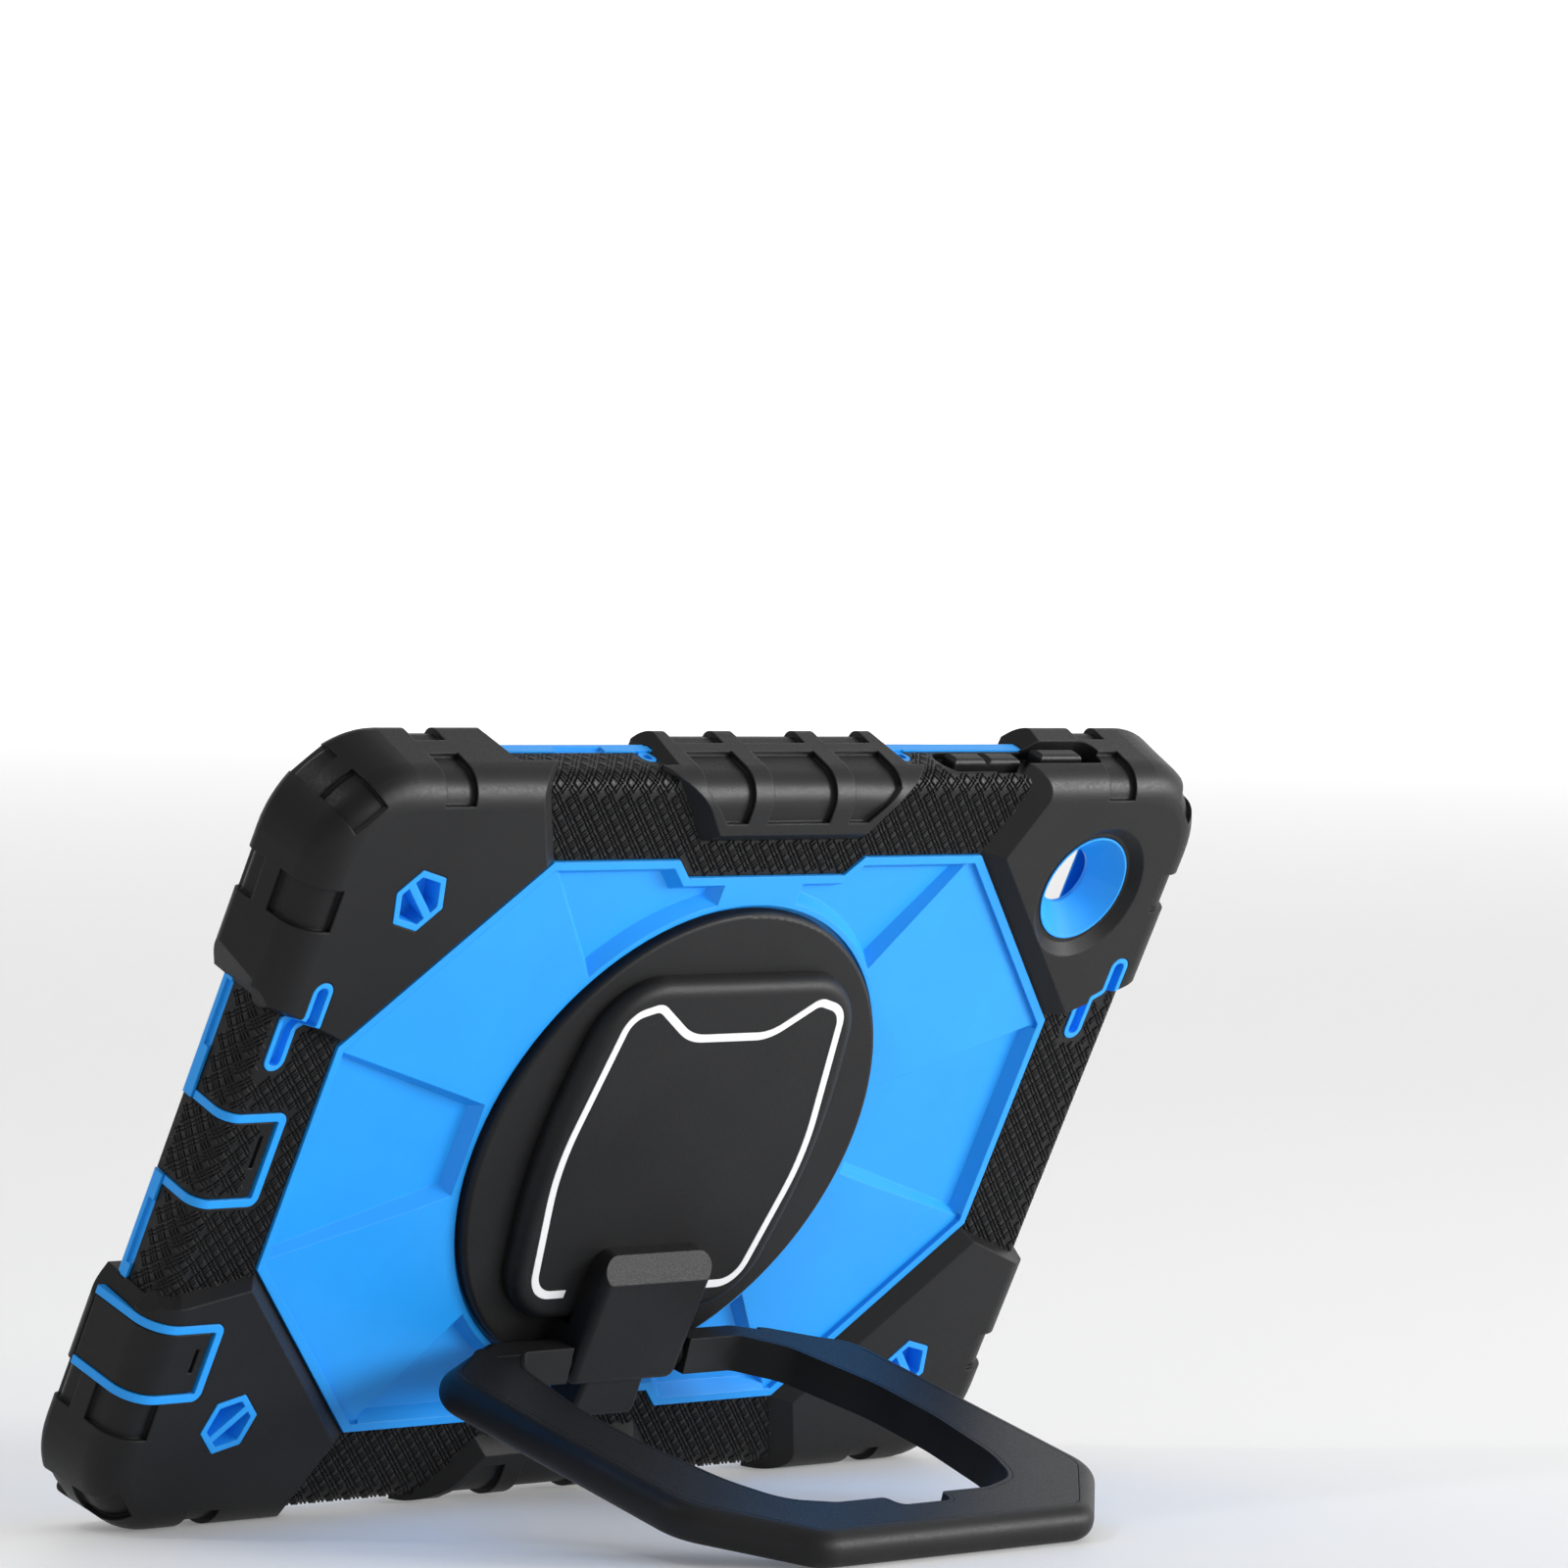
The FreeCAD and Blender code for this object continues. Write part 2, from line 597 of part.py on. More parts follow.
def silicone_jacket():
    jacket = band_body()
    form = raised_body()
    side_zone = (size("corner_front_z") - 1, -0.9)
    corners = corner_set(lambda extra: raised_corner(extra).common(form))
    corners += corner_set(lambda extra: prism(corner_footprint(extra), *side_zone).common(form))
    grooves = [part for cut in corner_grooves() for part in four_quadrants(cut)]
    cutter = grooves[0].multiFuse(grooves[1:]).cut(raised_body(size("groove_depth")))
    thick_corners = corners[0].multiFuse(corners[1:]).cut(cutter)

    low_form = raised_body(0.0, "bumper_half_y")
    half = BUMPER_HALF_LENGTH
    plan = mirrored([(half, 85.0), (half, 93.0), (half - 4.2, 96.4), (half - 4.2, 99.0)])
    bumper_side = prism(outline(plan), *side_zone)
    bumper = raised_bumper().common(low_form).fuse(bumper_side.common(low_form))
    cuts = bumper_grooves()
    bumper_cut = cuts[0].multiFuse(cuts[1:]).cut(
        raised_body(size("groove_depth"), "bumper_half_y"))
    bumper = bumper.cut(bumper_cut)
    jacket = jacket.multiFuse([thick_corners, bumper, bumper.mirror(V(0, 0, 0), V(0, 1, 0))])
    return cut_jacket(jacket).removeSplitter()


def cut_jacket(jacket):
    gap = size("seat_gap")
    back = size("shell_back_z")
    plate_face = size("face_z") + 1.2 - 0.1
    jacket = jacket.cut(prism(rectangle(133.0, 88.8, 8.8), -20, back + gap))
    jacket = jacket.cut(prism(rectangle(size("frame_half_x") + gap, size("frame_half_y") + gap,
                                        size("frame_corner") + gap),
                              plate_face, size("band_front_z")))
    jacket = jacket.cut(prism(rectangle(size("lip_half_x"), size("lip_half_y"), 10.0),
                              -20, plate_face + 0.1))
    jacket = jacket.cut(prism(octagon().makeOffset2D(gap, join=2), -6, 8))
    x = size("camera_x")
    y = size("camera_y")
    jacket = jacket.cut(Part.makeCylinder(size("funnel_radius") + 0.65, 20, V(x, y, -10)))
    well = size("camera_well")
    jacket = jacket.cut(Part.makeCone(well - 2.5, well, 2.3, V(x, y, 0.75)))
    for x, y, sign in window_spots():
        hole = prism(hexagon(7.7 + 0.15, 0, 0), -6, 6)
        hole.rotate(V(0, 0, 0), V(0, 0, 1), 0 if sign > 0 else 90)
        hole.translate(V(x, y, 0))
        jacket = jacket.cut(hole)
    for slot_x in SLOT_X:
        jacket = jacket.cut(prism(s_slot(slot_x, 0.15), -6, 6))
    return cut_jacket_sides(jacket)


def cut_jacket_sides(jacket):
    """Openings for the port flaps, the buttons and the eyelets."""
    width = size("outline_width") + 0.3 + 0.1
    jacket = jacket.cut(flap_area(size("usb_end_x") + width, 0.0, size("usb_half") + width,
                                  -13.0, 2.4))
    audio = flap_area(size("audio_end_x") + width, size("audio_y"),
                      size("audio_half") + width, AUDIO_FRONT_Z - 0.35, 2.4)
    bed = flap_area(size("audio_end_x"), size("audio_y"), size("audio_half"), -17.0)
    bed = bed.common(raised_body(size("flap_skin") + 0.3))
    jack = size("audio_y")
    bed = bed.cut(block(-140, -128, jack - 4, jack + 4, -11.0, -7.0))
    jacket = jacket.cut(audio.cut(bed))
    button = size("button_z")
    rocker = size("rocker_x")
    recess = prism(rectangle(15.0, 4.2, 4.1, rocker, button), 0, 10)
    scoop = prism(outline([(66.0, button - 4.2), (103.5, button - 4.2),
                           (103.5, button + 4.6), (66.0, button + 4.6)],
                          [0, 4.1, 4.1, 0]), 0, 20)
    for pocket, floor_y in ((recess, 91.0), (scoop, 90.9)):
        pocket.rotate(V(0, 0, 0), V(1, 0, 0), -90)
        pocket = pocket.mirror(V(0, 0, 0), V(0, 0, 1))
        pocket.translate(V(0, floor_y, 0))
        jacket = jacket.cut(pocket)
    half_height = size("button_height") / 2 + 0.3
    for x, length in ((rocker, size("rocker_length")), (size("power_x"), size("power_length"))):
        jacket = jacket.cut(block(x - length / 2 - 0.3, x + length / 2 + 0.3, 85, 96,
                                  button - half_height, button + half_height))
    for x in (-EYELET_X, EYELET_X):
        jacket = jacket.cut(eyelet_notch(x))
    return jacket


def eyelet_notch(x):
    """Notch with an arched end, open at the band's front edge, that clears a grommet."""
    half = size("eyelet_outer") + 0.15
    corners = [(-half, -2.8), (-half, 1.0), (-1.3, half), (1.3, half), (half, 1.0), (half, -2.8)]
    points = [V(x + across, 85.0, EYELET_Z + up) for across, up in corners]
    return Part.Face(Part.makePolygon(points + points[:1])).extrude(V(0, 10.0, 0))


# ---------------------------------------------------------------- port flaps and buttons

def round_ended(skin, end_x, z_low, z_high, y, half):
    """Rounds the hinged end of a flap about its hinge line, so that it can turn in place."""
    radius = (z_high - z_low) / 2
    end = block(end_x - radius, end_x + 1, y - half - 1, y + half + 1, z_low - 1, z_high + 1)
    knuckle = Part.makeCylinder(radius, 2 * half + 2, V(end_x - radius, y - half - 1,
                                                        (z_low + z_high) / 2), V(0, 1, 0))
    return skin.cut(end.cut(knuckle))


def usb_port_flap():
    end_x = size("usb_end_x")
    half = size("usb_half")
    low = size("shell_back_z") + size("seat_gap")
    cavity = prism(rectangle(133.0, 88.8, 8.8), -20, low)
    flap = flap_area(end_x, 0.0, half, USB_FRONT_Z).common(band_body()).cut(cavity)
    flap = round_ended(flap, end_x, low, size("band_z"), 0.0, half)
    flap = flap.fuse(block(-size("band_half_x"), -134.6, -half, half, size("face_z") + 0.3,
                           USB_FRONT_Z + 0.5))
    flap = flap.cut(block(-125.7, -124.5, -2.0, 6.0, size("band_z") - 0.9, 2))
    return flap.removeSplitter()


def audio_port_flap():
    end_x = size("audio_end_x")
    y = size("audio_y")
    half = size("audio_half")
    skin = size("flap_skin")
    top = size("corner_top_z")
    flap = flap_area(end_x, y, half, AUDIO_FRONT_Z).common(raised_body())
    flap = flap.cut(raised_body(skin))
    flap = round_ended(flap, end_x, top - skin, top, y, half)
    flap = flap.cut(block(-125.6, -124.4, y - 2.4, y + 3.6, top - 0.9, 6))
    return flap.removeSplitter()


def button_cap(x, length, face_y):
    half = size("button_height") / 2
    cap = block(x - length / 2, x + length / 2, 89.2, face_y,
                size("button_z") - half, size("button_z") + half)
    return cap.makeFillet(1.2, edges_where(cap, lambda box: box.YMin > 89.3))


def volume_rocker():
    """Two-ended button with a V groove across its middle and a round pivot rib behind."""
    x = size("rocker_x")
    face_y = size("rocker_face_y")
    cap = button_cap(x, size("rocker_length"), face_y)
    height = size("button_height")
    start = V(x, size("pivot_y"), size("button_z") - height / 2)
    cap = cap.fuse(Part.makeCylinder(size("pivot_radius"), height, start))
    groove = Part.makePolygon([V(x - 1.6, face_y + 0.3, -20), V(x + 1.6, face_y + 0.3, -20),
                               V(x, face_y - 1.5, -20), V(x - 1.6, face_y + 0.3, -20)])
    return cap.cut(Part.Face(groove).extrude(V(0, 0, 30)))


def plungers(spots):
    """Round pins that carry a button's push through the frame's skirt to the tablet."""
    pins = [side_cylinder(radius, x, 84.6, 89.2) for x, radius in spots]
    return Part.makeCompound(pins)


# ---------------------------------------------------------------- turntable

def cylinder(name, radius, z_low, z_high, x=0.0, y=0.0):
    """Part::Cylinder along z whose sizes are expressions on the size sheet."""
    node = doc.addObject("Part::Cylinder", name)
    node.Placement = FreeCAD.Placement(V(x, y, 0), FreeCAD.Rotation())
    node.setExpression("Radius", radius)
    node.setExpression("Height", "(%s) - (%s)" % (z_high, z_low))
    node.setExpression("Placement.Base.z", z_low)
    return node


def joined(name, parts):
    node = doc.addObject("Part::MultiFuse", name)
    node.Shapes = parts
    return node


def cut_by(name, base, tool):
    node = doc.addObject("Part::Cut", name)
    node.Base = base
    node.Tool = tool
    return node


def washer(label, outer, inner, z_low, z_high):
    body = cylinder(label + "_outer", outer, z_low, z_high)
    hole = cylinder(label + "_hole", inner, z_low, z_high)
    return keep_object(label, cut_by(label, body, hole))


def screw_spots():
    turns = [math.radians(30 + 60 * k) for k in range(6)]
    return [(size("screw_circle") * math.cos(a), size("screw_circle") * math.sin(a))
            for a in turns]


HINGE_SCREWS = ((-12.0, -46.1), (12.0, -46.1), (-12.0, -30.0), (12.0, -30.0))
PAD_SCREWS = ((-28.0, -22.0), (28.0, -22.0), (-28.0, 24.0), (28.0, 24.0))


def screws(label, spots, z_head, z_shoulder, z_tip):
    """Round-headed screws pointing out of the panel, one solid each, in one node."""
    parts = []
    for number, (x, y) in enumerate(spots):
        head = cylinder("%s_head%d" % (label, number), "Sizes.screw_head",
                        z_head, z_shoulder, x, y)
        shank = cylinder("%s_shank%d" % (label, number), "Sizes.screw_radius",
                         z_shoulder, z_tip, x, y)
        parts += [head, shank]
    return keep_object(label, joined(label, parts))


def holes(label, spots, z_low, z_shoulder, z_high):
    """Clearance holes for a set of screws, wider for the heads below the shoulder."""
    parts = []
    for number, (x, y) in enumerate(spots):
        parts.append(cylinder("%s_sink%d" % (label, number), "Sizes.screw_head + 0.25",
                              z_low, z_shoulder, x, y))
        parts.append(cylinder("%s_hole%d" % (label, number), "Sizes.screw_radius + 0.05",
                              z_low, z_high, x, y))
    return parts


def swivel_disc():
    plate = cylinder("disc_plate", "Sizes.disc_radius", "Sizes.disc_under_z",
                     "Sizes.disc_top_z")
    rounded = doc.addObject("Part::Fillet", "disc_rounded")
    rounded.Base = plate
    doc.recompute()
    top = [i for i, edge in enumerate(plate.Shape.Edges, start=1)
           if edge.BoundBox.ZMin > size("disc_top_z") - 0.01]
    rounded.Edges = [(i, size("disc_edge"), size("disc_edge")) for i in top]
    hub = cylinder("disc_hub", "Sizes.hub_radius", "Sizes.hub_end_z", "Sizes.disc_top_z - 1")
    body = joined("disc_body", [rounded, hub])
    cuts = holes("disc_cut", HINGE_SCREWS + PAD_SCREWS, "Sizes.disc_under_z - 1",
                 "Sizes.disc_under_z + 1.6", "Sizes.disc_top_z + 1")
    for number, (x, y) in enumerate(screw_spots()):
        cuts.append(cylinder("hub_hole%d" % number, "Sizes.screw_radius + 0.05",
                             "Sizes.hub_end_z - 1", "-0.3", x, y))
    return keep_object("swivel_disc", cut_by("swivel_disc", body, joined("disc_cuts", cuts)))


def swivel_retainer():
    plate = cylinder("retainer_disc", "Sizes.retainer_radius",
                     "Sizes.hub_end_z - Sizes.retainer_plate", "Sizes.hub_end_z")
    cuts = holes("retainer_cut", screw_spots(), "Sizes.hub_end_z - 3",
                 "Sizes.hub_end_z - 0.6", "Sizes.hub_end_z + 1")
    return keep_object("swivel_retainer",
                       cut_by("swivel_retainer", plate, joined("retainer_cuts", cuts)))


def pad_outline(shrink=0.0):
    """Square with bulging sides and wide corners, as one closed wire."""
    points = [(39.0, size("pad_high_y")), (size("pad_half_x") + 1.25, 0.0),
              (37.4, size("pad_low_y"))]
    radii = [18.0, 120.0, 18.0]
    wire = outline(mirrored(points), radii + radii[::-1])
    if shrink:
        return wire.makeOffset2D(-shrink, join=2)
    return wire


def line_band(width, z_low, z_high):
    """Accent line: rounded shoulders, a shallow dip at the top, open at the bottom."""
    points = [(34.0, -37.3), (41.3, -2.0), (35.6, 38.0), (25.0, 41.0), (12.0, 32.4)]
    radii = [9.0, 60.0, 8.0, 6.0, 12.0]
    spread = (width - size("line_width")) / 2
    wire = outline(mirrored(points), radii + radii[::-1])
    outer = wire.makeOffset2D(spread - 1.0)
    inner = wire.makeOffset2D(-1.0 - size("line_width") - spread)
    band = prism(outer, z_low, z_high).cut(prism(inner, z_low - 1, z_high + 1))
    gap = 22.0 - spread
    return band.cut(block(-gap, gap, -60, -20, z_low - 1, z_high + 1))


def pad_cover():
    low = size("disc_top_z")
    high = size("pad_top_z")
    pad = prism(pad_outline(), low, high)
    pad = pad.makeFillet(size("pad_round"), edges_where(pad, lambda box: box.ZMin > high - 0.01))
    hollow = prism(pad_outline(size("pad_wall") + 1.6), low - 1, high - size("pad_wall") - 0.4)
    for x, y in HINGE_SCREWS[2:] + PAD_SCREWS:
        hollow = hollow.cut(Part.makeCylinder(3.2, 8, V(x, y, low - 2)))
    pad = pad.cut(hollow)
    reach = {spot: high + 1 for spot in HINGE_SCREWS[2:]}
    reach.update({spot: high - 1.6 for spot in PAD_SCREWS})
    for (x, y), top in reach.items():
        pad = pad.cut(Part.makeCylinder(size("screw_radius") + 0.05, top - low + 1,
                                        V(x, y, low - 1)))
    return pad.cut(line_band(size("line_width") + 0.1, high - size("line_depth"), high + 1))


def accent_line():
    high = size("pad_top_z")
    return line_band(size("line_width"), high - size("line_depth"), high + 0.1)


# ---------------------------------------------------------------- hinge and loop stand

def journal_bore():
    """Space for the loop's round journal."""
    y = size("hinge_y")
    z = size("hinge_z")
    radius = size("journal_radius") + size("journal_clearance")
    return Part.makeCylinder(radius, 60, V(-30, y, z), V(1, 0, 0))


def hinge_screw_holes(z_low, z_high, spots=HINGE_SCREWS):
    pins = [Part.makeCylinder(size("screw_radius") + 0.05, z_high - z_low, V(x, y, z_low))
            for x, y in spots]
    return pins[0].multiFuse(pins[1:])


def hinge_base():
    half = size("block_half_x")
    low_y = size("block_low_y")
    top = size("hinge_z")
    floor = size("disc_top_z")
    base = block(-half, half, low_y, -44.0, floor, top)
    base = base.makeFillet(3.0, edges_where(base, lambda box: box.ZLength > 5
                                            and box.YMax < low_y + 0.01))
    wide = size("lug_half_x")
    end = size("lug_low_y")
    plan = outline([(wide - 0.9, low_y + 1.0), (0.9 - wide, low_y + 1.0), (-wide, end),
                    (wide, end)], [0, 0, 2.0, 2.0])
    lug = prism(plan, floor, size("lug_top_z"))
    lug = lug.makeFillet(1.2, edges_where(lug, lambda box: box.ZMin > size("lug_top_z") - 0.01))
    lug = lug.cut(block(-20, 20, low_y, 0, size("hinge_z"), 20))
    base = base.fuse(lug).cut(journal_bore())
    return base.cut(hinge_screw_holes(0, 12)).removeSplitter()


def hinge_clip():
    half = size("block_half_x")
    low_y = size("block_low_y")
    top = size("block_top_z")
    clip = block(-half, half, low_y, size("block_high_y"), size("pad_top_z"), top)
    clip = clip.makeFillet(4.0, edges_where(clip, lambda box: box.ZLength > 5
                                            and box.YMin > -30))
    clip = clip.makeFillet(3.0, edges_where(clip, lambda box: box.ZLength > 5
                                            and box.YMax < low_y + 0.01))
    rim = edges_where(clip, lambda box: box.ZMin > top - 0.01)
    clip = clip.makeFillet(2.2, rim)
    high_y = size("block_high_y")
    slope = Part.makePolygon([V(-20, high_y - 6.0, top + 0.01), V(-20, high_y + 1, top + 0.01),
                              V(-20, high_y + 1, top - 4.0), V(-20, high_y - 6.0, top + 0.01)])
    clip = clip.cut(Part.Face(slope).extrude(V(40, 0, 0)))
    clip = clip.cut(block(-20, 20, -60, -44.0, 0, size("hinge_z")))
    clip = clip.cut(journal_bore())
    return clip.cut(hinge_screw_holes(0, 11.3)).removeSplitter()


def hinge_bushes():
    """Thin washers between the hinge block and the loop's shoulders."""
    rings = []
    for start in (size("block_half_x") + 0.3, -size("block_half_x") - 0.3 - size("bush_width")):
        centre = V(start, size("hinge_y"), size("hinge_z"))
        solid = Part.makeCylinder(size("bush_radius"), size("bush_width"), centre, V(1, 0, 0))
        rings.append(solid.cut(journal_bore()))
    return Part.makeCompound(rings)


def loop_outline():
    points = [(size("loop_near"), -size("loop_half")), (size("loop_wide"), size("loop_first")),
              (size("loop_wide"), size("loop_second")), (size("loop_far"),
                                                         size("loop_length"))]
    radii = [7.0, 12.0, 14.0, 10.0]
    return outline(mirrored(points), radii + radii[::-1])


def loop_opening():
    """Finger and pad opening inside the loop, with a notch in its far edge."""
    end = size("loop_inner_end") - 0.6
    points = [(34.0, 5.0), (42.2, 13.8), (47.2, 38.0), (46.6, 58.0), (42.6, 80.5),
              (36.4, 92.8), (24.0, end), (9.0, end), (8.0, end + 4.6)]
    radii = [3.0, 10.0, 40.0, 40.0, 30.0, 12.0, 10.0, 1.5, 2.5]
    return outline(mirrored(points), radii + radii[::-1])


def seam_ring(z_low, z_high, gap):
    """Flat cover on the loop's panel-facing side, between its two seam lines."""
    points = [(45.6, 1.0), (62.4, 13.9), (62.7, 88.7), (40.9, 110.0)]
    outer = outline(mirrored(points), [6.0, 9.0, 11.0, 8.0, 8.0, 11.0, 9.0, 6.0])
    if gap:
        outer = outer.makeOffset2D(-gap)
    inner = loop_opening().makeOffset2D(1.0 + gap)
    solid = prism(outer, z_low, z_high).cut(prism(inner, z_low - 1, z_high + 1))
    return solid.cut(block(-44.0, 44.0, -10.0, 6.4 + gap, z_low - 1, z_high + 1))


def opened(shape):
    """Turns a shape of the folded loop's frame to the open pose of the stand."""
    shape = shape.copy()
    shape.rotate(V(0, 0, 0), V(1, 0, 0), size("open_angle"))
    shape.translate(V(0, size("hinge_y"), size("hinge_z")))
    return shape


def kickstand_body():
    half = size("loop_half")
    loop = prism(loop_outline(), -half, half)
    rims = edges_where(loop, lambda box: box.ZLength < 0.01)
    loop = loop.makeFillet(size("loop_round"), rims)
    opening = prism(loop_opening(), -half - 1, half + 1)
    loop = loop.cut(opening)
    shoulder = size("block_half_x") + 0.3 + size("bush_width") + 0.3
    loop = loop.cut(block(-shoulder, shoulder, -10, 5.6, -10, 10))
    journal = Part.makeCylinder(size("journal_radius"), 2 * shoulder + 1,
                                V(-shoulder - 0.5, 0, 0), V(1, 0, 0))
    loop = loop.fuse(journal)
    loop = loop.cut(seam_ring(-half - 1, -half + 1.3, 0.0))
    return opened(loop.removeSplitter())


def kickstand_face():
    half = size("loop_half")
    return opened(seam_ring(-half, -half + 1.3, 0.15))


# ---------------------------------------------------------------- build and write the nodes

def build():
    keep("front_frame", front_frame())
    keep("strap_eyelets", strap_eyelets())
    keep("rear_shell", rear_shell())
    keep("silicone_jacket", silicone_jacket())
    keep("usb_port_flap", usb_port_flap())
    keep("audio_port_flap", audio_port_flap())
    keep("volume_rocker", volume_rocker())
    keep("volume_plungers", plungers(BUTTON_SPOTS[:2]))
    keep("power_button", button_cap(size("power_x"), size("power_length"),
                                    size("power_face_y")))
    keep("power_plunger", plungers(BUTTON_SPOTS[2:]))
    washer("bearing_ring", "Sizes.bearing_outer", "Sizes.bearing_inner",
           "Sizes.well_z", "Sizes.disc_under_z - 0.03")
    washer("friction_washer", "Sizes.retainer_radius - 1", "Sizes.hub_radius + 0.3",
           "Sizes.hub_end_z + 0.03", "Sizes.hub_end_z + Sizes.washer_plate - 0.03")
    swivel_disc()
    swivel_retainer()
    screws("retainer_screws", screw_spots(), "Sizes.hub_end_z - Sizes.retainer_plate - 0.1",
           "Sizes.hub_end_z - 0.6", "-0.5")
    keep("pad_cover", pad_cover())
    keep("accent_line", accent_line())
    screws("pad_screws", PAD_SCREWS, "Sizes.disc_under_z + 0.15",
           "Sizes.disc_under_z + 1.6", "Sizes.pad_top_z - 2")
    keep("hinge_base", hinge_base())
    keep("hinge_clip", hinge_clip())
    screws("hinge_screws", HINGE_SCREWS, "Sizes.disc_under_z + 0.15",
           "Sizes.disc_under_z + 1.6", "11")
    keep("hinge_bushes", hinge_bushes())
    keep("kickstand_body", kickstand_body())
    keep("kickstand_face", kickstand_face())


def check_and_write():
    os.makedirs("parts", exist_ok=True)
    doc.recompute()
    for node in doc.Objects:
        if "Invalid" in node.State or "Error" in node.State:
            raise RuntimeError("%s: %s" % (node.Label, node.State))
    for node in NODES:
        shape = node.Shape
        if shape.isNull() or not shape.isValid():
            raise RuntimeError("%s has no valid shape" % node.Label)
        box = shape.optimalBoundingBox()
        print("%-18s solids %d  volume %9.1f  z %.2f to %.2f  y %.2f to %.2f"
              % (node.Label, len(shape.Solids), shape.Volume, box.ZMin, box.ZMax,
                 box.YMin, box.YMax))
        shape.exportStep("parts/%s.step" % node.Label)
    print("lean %.3f degrees" % math.degrees(LEAN))


build()
check_and_write()
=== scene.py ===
import bpy
import json
import math
from itertools import product
from mathutils import Matrix, Vector


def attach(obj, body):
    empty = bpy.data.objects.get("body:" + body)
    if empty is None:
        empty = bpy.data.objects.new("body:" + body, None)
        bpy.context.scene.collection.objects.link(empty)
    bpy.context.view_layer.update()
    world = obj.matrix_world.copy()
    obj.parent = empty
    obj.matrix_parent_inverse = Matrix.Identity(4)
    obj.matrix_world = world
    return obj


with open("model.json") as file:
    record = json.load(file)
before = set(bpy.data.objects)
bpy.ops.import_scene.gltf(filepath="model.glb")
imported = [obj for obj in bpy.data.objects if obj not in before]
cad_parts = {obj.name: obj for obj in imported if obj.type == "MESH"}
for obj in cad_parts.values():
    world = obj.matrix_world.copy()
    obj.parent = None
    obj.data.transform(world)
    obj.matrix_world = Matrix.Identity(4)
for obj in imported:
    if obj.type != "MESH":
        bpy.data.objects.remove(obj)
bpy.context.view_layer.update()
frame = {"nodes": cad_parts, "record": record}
nodes = frame["nodes"]

# The case's own panel frame: x to the right as seen from the rear, y up the panel and
# z out of its back. It leans by LEAN and is lifted so that the object stands on the floor.
LEAN = 0.4516645
ORIGIN = Vector((0.0, 0.0180460, 0.0842391))
TILT = Matrix.Rotation(math.pi / 2 + LEAN, 3, "X")


def place(x, y, z):
    """A panel point in millimetres, as a point of the row frame in metres."""
    return TILT @ (Vector((x, y, z)) / 1000) + ORIGIN


def aim(x, y, z):
    """A panel direction, as a direction of the row frame."""
    return TILT @ Vector((x, y, z))


# ---------------------------------------------------------------- camera, floor and light

# Where the photographer stood, in the panel frame: behind the case, to its left and above.
CAMERA_AT = (-1243.37, 665.40, 1059.00)
CAMERA_RIGHT = (0.69753, 0.33551, 0.63315)
CAMERA_UP = (0.00466, 0.88146, -0.47223)
CAMERA_BACK = (-0.71654, 0.33235, 0.61329)
CAMERA_LENS = 178.65

FLOOR_SHADE, FLOOR_GLOW = 0.86, 0.12
BACKDROP_SHADE, BACKDROP_GLOW = 0.5, 0.8


def make_camera():
    right, up, back = aim(*CAMERA_RIGHT), aim(*CAMERA_UP), aim(*CAMERA_BACK)
    data = bpy.data.cameras.new("camera")
    data.lens = CAMERA_LENS
    data.sensor_width = 36.0
    data.clip_end = 50.0
    camera = bpy.data.objects.new("camera", data)
    turn = Matrix((right, up, back)).transposed()
    camera.matrix_world = Matrix.Translation(place(*CAMERA_AT)) @ turn.to_4x4()
    bpy.context.scene.collection.objects.link(camera)
    bpy.context.scene.camera = camera


def make_light(name, position, target, width, energy):
    """A round white area light that faces its target."""
    data = bpy.data.lights.new(name, "AREA")
    data.shape = "DISK"
    data.size = width
    data.energy = energy
    light = bpy.data.objects.new(name, data)
    light.location = position
    light.rotation_mode = "QUATERNION"
    direction = Vector(target) - Vector(position)
    light.rotation_quaternion = direction.to_track_quat("-Z", "Y")
    bpy.context.scene.collection.objects.link(light)


def make_surface(name, corners, shade, glow):
    """A flat piece of the studio, which isn't part of the object."""
    mesh = bpy.data.meshes.new(name)
    mesh.from_pydata(corners, [], [(0, 1, 2, 3)])
    surface = bpy.data.objects.new(name, mesh)
    bpy.context.scene.collection.objects.link(surface)
    material = bpy.data.materials.new(name)
    material.use_nodes = True
    shader = material.node_tree.nodes["Principled BSDF"]
    shader.inputs["Base Color"].default_value = (shade, shade, shade, 1)
    shader.inputs["Roughness"].default_value = 0.6
    shader.inputs["Emission Color"].default_value = (1, 1, 1, 1)
    shader.inputs["Emission Strength"].default_value = glow
    mesh.materials.append(material)


def make_stage():
    """A white floor, two bright backdrops behind the object, and soft light all round."""
    half = 5.0
    floor = [(-half, -half, 0), (half, -half, 0), (half, half, 0), (-half, half, 0)]
    behind = [(-half, half, 0), (half, half, 0), (half, half, half), (-half, half, half)]
    beside = [(half, -half, 0), (half, half, 0), (half, half, half), (half, -half, half)]
    make_surface("floor", floor, FLOOR_SHADE, FLOOR_GLOW)
    make_surface("backdrop", behind, BACKDROP_SHADE, BACKDROP_GLOW)
    make_surface("backdrop_side", beside, BACKDROP_SHADE, BACKDROP_GLOW)
    world = bpy.data.worlds.new("studio")
    world.use_nodes = True
    background = world.node_tree.nodes["Background"]
    background.inputs["Color"].default_value = (1.0, 1.0, 1.0, 1)
    background.inputs["Strength"].default_value = 0.42
    bpy.context.scene.world = world
    bpy.context.scene.view_settings.view_transform = "Standard"
    centre = (0, 0, 0.08)
    make_light("key", (1.6, -1.5, 0.45), centre, 0.9, 36)
    make_light("low", (0.5, -1.6, 0.35), centre, 0.6, 8)
    make_light("strip", (-0.9, 0.2, 1.3), centre, 0.12, 2)


# ---------------------------------------------------------------- materials

